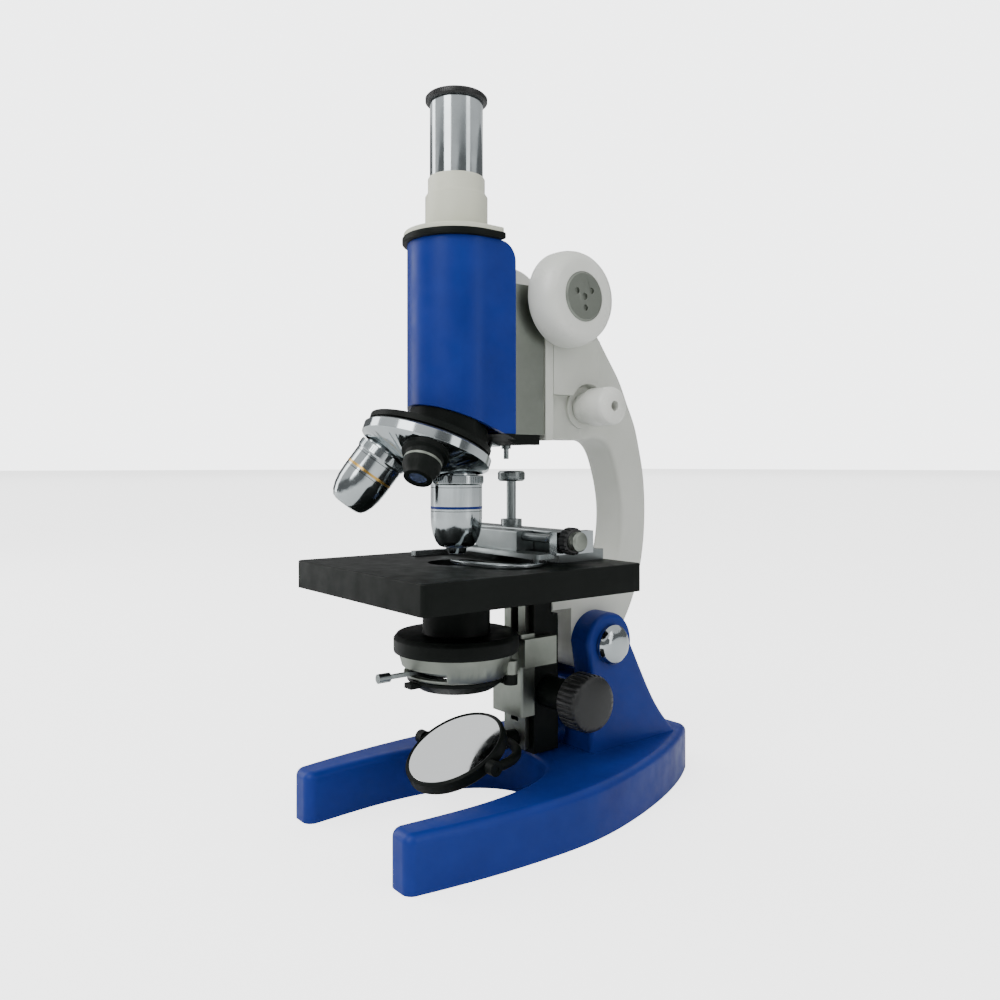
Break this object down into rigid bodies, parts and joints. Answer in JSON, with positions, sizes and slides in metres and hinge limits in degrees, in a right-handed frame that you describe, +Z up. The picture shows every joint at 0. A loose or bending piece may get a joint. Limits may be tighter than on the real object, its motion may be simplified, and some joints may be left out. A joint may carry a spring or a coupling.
{
  "type": "compound microscope",
  "caption": "Inclining student microscope with a horseshoe base, curved limb, square mechanical stage, rotating nosepiece, condenser and mirror.",
  "frame": {"origin": "on the table, under the centre of the base's bounding box", "axes": "+Z up along the optical axis, -Y to the front where the legs point and the mirror faces, +X to the side of the condenser knob"},
  "size_m": [0.1212, 0.21, 0.3525],
  "materials": {
    "blue_enamel": "gloss",
    "white_enamel": "gloss",
    "black_enamel": "satin",
    "chrome": "polished",
    "satin_steel": "satin",
    "satin_aluminium": "satin",
    "brass": "satin",
    "white_plastic": "gloss",
    "black_plastic": "satin",
    "glass": "polished",
    "mirror_glass": "polished"
  },
  "bodies": {
    "stand": {"base_casting": "blue_enamel", "pivot_bolt": "chrome", "pivot_nut": "chrome"},
    "limb": {"limb_casting": "white_enamel", "stage_plate": "black_enamel", "tail_bar": "black_enamel", "condenser_guide": "satin_aluminium", "limb_screws": "satin_steel", "stage_guide": "satin_steel"},
    "fine_drive": {"fine_spindle": "satin_steel", "fine_knobs": "white_plastic"},
    "focus_carriage": {"focus_block": "white_enamel", "coarse_bushes": "brass"},
    "coarse_drive": {"coarse_pinion": "satin_steel", "coarse_knob_right": "white_plastic", "coarse_knob_left": "white_plastic", "coarse_plates": "satin_aluminium"},
    "body": {"body_shell": "blue_enamel", "body_top_plate": "black_enamel", "body_bottom_plate": "black_enamel", "body_slide": "satin_aluminium", "body_rack": "brass", "stop_peg": "satin_steel", "tube_collar": "white_enamel", "nosepiece_mount": "black_enamel", "nosepiece_spring": "chrome", "nosepiece_screw": "black_enamel"},
    "draw_tube": {"draw_tube": "chrome"},
    "eyepiece": {"eyepiece_barrel": "chrome", "eyepiece_cap": "black_plastic", "eyepiece_lenses": "glass"},
    "nosepiece": {"nosepiece_disc": "chrome", "objective_high": "chrome", "objective_middle": "chrome", "objective_low": "black_enamel", "objective_lenses": "glass"},
    "sprung_nose": {"objective_nose": "chrome", "objective_nose_lens": "glass"},
    "cross_slide": {"stage_carriage": "satin_steel", "carriage_ends": "chrome"},
    "cross_drive": {"cross_post": "satin_steel"},
    "lateral_drive": {"lateral_screw": "satin_steel", "lateral_knob": "black_plastic", "lateral_cap": "satin_aluminium"},
    "slide_holder": {"slide_holder": "satin_steel"},
    "slide_finger": {"slide_finger": "chrome"},
    "condenser": {"condenser_carrier": "satin_aluminium", "condenser_rack": "brass", "condenser_body": "black_enamel", "condenser_lenses": "glass", "iris_leaves": "black_enamel"},
    "iris_lever": {"iris_lever": "satin_steel"},
    "filter_holder": {"filter_holder": "black_enamel"},
    "condenser_drive": {"condenser_pinion": "satin_steel", "condenser_knob": "black_plastic"},
    "mirror_fork": {"mirror_fork": "black_enamel", "mirror_nut": "chrome"},
    "mirror": {"mirror_frame": "black_enamel", "plane_mirror": "mirror_glass", "concave_mirror": "mirror_glass"}
  },
  "joints": [
    {"name": "limb_tilt", "type": "hinge", "parent": "stand", "child": "limb", "pos_m": [0, 0.038, 0.079], "axis": [-1, 0, 0], "range_deg": [0, 45]},
    {"name": "fine_knob_turn", "type": "hinge", "parent": "limb", "child": "fine_drive", "pos_m": [0, 0.029, 0.203], "axis": [1, 0, 0], "range_deg": [-545, 545]},
    {"name": "fine_slide", "type": "slide", "parent": "limb", "child": "focus_carriage", "axis": [0, 0, 1], "range_m": [-0.0009, 0.0009]},
    {"name": "coarse_slide", "type": "slide", "parent": "focus_carriage", "child": "body", "axis": [0, 0, 1], "range_m": [-0.002, 0.045]},
    {"name": "coarse_knob_turn", "type": "hinge", "parent": "focus_carriage", "child": "coarse_drive", "pos_m": [0, 0.0075, 0.256], "axis": [-1, 0, 0], "range_deg": [-18.5, 404]},
    {"name": "draw_tube_slide", "type": "slide", "parent": "body", "child": "draw_tube", "axis": [0, 0, 1], "range_m": [0, 0.025]},
    {"name": "eyepiece_lift", "type": "slide", "parent": "draw_tube", "child": "eyepiece", "axis": [0, 0, 1], "range_m": [0, 0.03]},
    {"name": "nosepiece_turn", "type": "hinge", "parent": "body", "child": "nosepiece", "pos_m": [0, -0.0636, 0.17553], "axis": [0, 0.3584, 0.9336], "continuous": true},
    {"name": "nose_spring", "type": "slide", "parent": "nosepiece", "child": "sprung_nose", "axis": [0, 0, 1], "range_m": [0, 0.0015], "stiffness_N_per_m": 300, "springref_m": -0.001},
    {"name": "cross_slide", "type": "slide", "parent": "limb", "child": "cross_slide", "axis": [0, 1, 0], "range_m": [-0.006, 0.006]},
    {"name": "cross_knob_turn", "type": "hinge", "parent": "cross_slide", "child": "cross_drive", "pos_m": [-0.012, 0, 0.15], "axis": [0, 0, 1], "range_deg": [-87, 87]},
    {"name": "lateral_knob_turn", "type": "hinge", "parent": "cross_slide", "child": "lateral_drive", "pos_m": [0, -0.014, 0.1376], "axis": [1, 0, 0], "range_deg": [-1090, 1090]},
    {"name": "lateral_slide", "type": "slide", "parent": "cross_slide", "child": "slide_holder", "axis": [1, 0, 0], "range_m": [-0.015, 0.015]},
    {"name": "finger_swing", "type": "hinge", "parent": "slide_holder", "child": "slide_finger", "pos_m": [0.034, -0.0215, 0.1267], "axis": [0, 0, 1], "range_deg": [0, 25], "stiffness_Nm_per_rad": 0.02, "springref_deg": -11.46},
    {"name": "condenser_slide", "type": "slide", "parent": "limb", "child": "condenser", "axis": [0, 0, 1], "range_m": [-0.006, 0.002]},
    {"name": "condenser_knob_turn", "type": "hinge", "parent": "limb", "child": "condenser_drive", "pos_m": [0, 0.006, 0.057], "axis": [-1, 0, 0], "range_deg": [-72, 24.5]},
    {"name": "iris_swing", "type": "hinge", "parent": "condenser", "child": "iris_lever", "pos_m": [0, -0.044, 0.075], "axis": [0, 0, 1], "range_deg": [-28, 28]},
    {"name": "filter_swing", "type": "hinge", "parent": "condenser", "child": "filter_holder", "pos_m": [0.021, -0.027, 0.07], "axis": [0, 0, 1], "range_deg": [0, 75]},
    {"name": "mirror_roll", "type": "hinge", "parent": "limb", "child": "mirror_fork", "pos_m": [0, -0.011, 0.033], "axis": [0, 1, 0], "range_deg": [-35, 35]},
    {"name": "mirror_tilt", "type": "hinge", "parent": "mirror_fork", "child": "mirror", "pos_m": [0, -0.044, 0.033], "axis": [1, 0, 0], "range_deg": [-28, 27]}
  ],
  "couplings": [
    {"joint": "fine_knob_turn", "follows": "fine_slide", "rad_per_m": 10472},
    {"joint": "coarse_knob_turn", "follows": "coarse_slide", "rad_per_m": 156.25},
    {"joint": "cross_knob_turn", "follows": "cross_slide", "rad_per_m": 250},
    {"joint": "lateral_knob_turn", "follows": "lateral_slide", "rad_per_m": 1256.6},
    {"joint": "condenser_knob_turn", "follows": "condenser_slide", "rad_per_m": 208.33}
  ]
}
